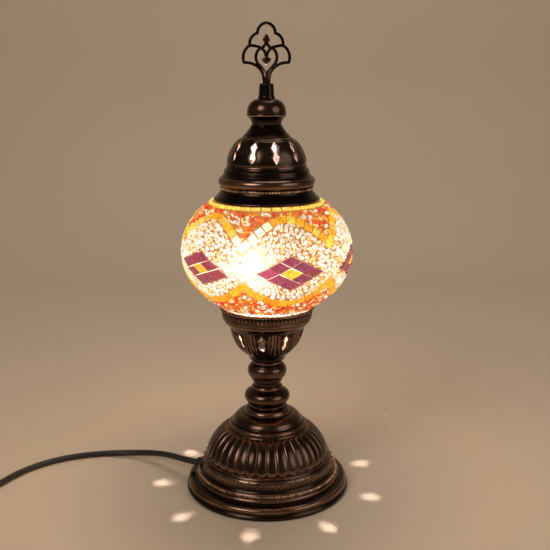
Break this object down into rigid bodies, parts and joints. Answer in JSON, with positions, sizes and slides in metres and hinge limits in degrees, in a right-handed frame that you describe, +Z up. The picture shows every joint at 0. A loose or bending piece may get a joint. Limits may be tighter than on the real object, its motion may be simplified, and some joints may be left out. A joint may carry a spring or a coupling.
{
  "type": "mosaic glass table lamp",
  "caption": "Table lamp with a lit mosaic glass globe in a pierced copper cup, a lift-off pierced cap with lace finial, a domed base, mains lead, switch and plug.",
  "frame": {"origin": "middle of the base on the surface that the lamp stands on", "axes": "+Z up along the lamp's axis, -Y towards the front, the lead leaves on the -X side"},
  "size_m": [0.4208, 0.1475, 0.3592],
  "materials": {
    "antique_copper": "dark antique copper plating, burnished on the high spots",
    "cast_iron": "raw casting",
    "felt": "dark felt",
    "steel": "zinc plated",
    "spring_steel": "tempered strip",
    "rubber": "matt black",
    "bakelite": "black thermoset",
    "porcelain": "unglazed",
    "contact_brass": "bright brass",
    "bulb_metal": "satin",
    "bulb_collar": "black vitrite",
    "bulb_glass": "opal glass, lit",
    "filament": "lit filament",
    "clear_glass": "blown clear glass",
    "grout": "warm ivory grout, lit from behind",
    "plum_glass": "plum glass",
    "amber_glass": "hammered amber glass",
    "yellow_glass": "yellow glass",
    "orange_glass": "orange glass",
    "lead_black": "black flexible sheath",
    "tie_black": "woven strap",
    "switch_black": "moulded",
    "plug_black": "moulded"
  },
  "bodies": {
    "stand": {"base_shell": "antique_copper", "felt_pad": "felt", "base_plate": "steel", "base_weight": "cast_iron", "ballast_screws": "steel", "threaded_rod": "steel", "rod_washer": "steel", "rod_nut": "steel", "lower_baluster": "antique_copper", "upper_baluster": "antique_copper", "cup_shell": "antique_copper", "cup_nut": "steel", "cup_seat_ring": "rubber", "holder_base": "bakelite", "holder_sleeve": "bakelite", "holder_insert": "porcelain", "screw_shell": "contact_brass", "centre_contact": "contact_brass", "terminal_screws": "contact_brass", "inner_cable": "lead_black", "inner_wires": "lead_black", "strain_relief": "rubber", "cord_tube": "lead_black", "cord_tail": "lead_black", "cord_end": "lead_black", "cord_coil": "lead_black", "coil_tie": "tie_black", "switch_base": "switch_black", "switch_cover": "switch_black", "rocker_pin": "steel", "switch_contacts": "contact_brass", "switch_screws": "steel", "plug_body": "plug_black", "plug_pins": "contact_brass"},
    "globe": {"glass_globe": "clear_glass", "grout_layer": "grout", "lozenge_tiles": "plum_glass", "lozenge_centres": "amber_glass", "upper_band_tiles": "yellow_glass", "lower_band_tiles": "orange_glass", "rim_tiles": "yellow_glass"},
    "cap": {"cap_shell": "antique_copper", "spring_clips": "spring_steel", "cap_knob": "antique_copper", "finial_socket": "antique_copper", "finial_plate": "antique_copper", "finial_stud": "steel", "stud_nut": "steel"},
    "bulb_carrier": {"bulb_tip": "bulb_metal"},
    "bulb": {"bulb_insulator": "bulb_collar", "bulb_cap": "bulb_metal", "bulb_glass": "bulb_glass", "bulb_stem": "clear_glass", "bulb_filaments": "filament"},
    "rocker": {"switch_rocker": "switch_black"}
  },
  "joints": [
    {"name": "globe_lift", "type": "slide", "parent": "stand", "child": "globe", "axis": [0, 0, 1], "range_m": [0, 0.08]},
    {"name": "cap_lift", "type": "slide", "parent": "globe", "child": "cap", "axis": [0, 0, 1], "range_m": [0, 0.04]},
    {"name": "bulb_rise", "type": "slide", "parent": "stand", "child": "bulb_carrier", "axis": [0, 0, 1], "range_m": [0, 0.01411]},
    {"name": "bulb_turn", "type": "hinge", "parent": "bulb_carrier", "child": "bulb", "pos_m": [0, 0, 0.14], "axis": [0, 0, 1], "range_deg": [0, 1800]},
    {"name": "switch_press", "type": "hinge", "parent": "stand", "child": "rocker", "pos_m": [-0.291, -0.057, 0.0115], "axis": [0, 1, 0], "range_deg": [-18, 0]}
  ],
  "couplings": [
    {"joint": "bulb_rise", "follows": "bulb_turn", "m_per_rad": 0.00044882}
  ]
}
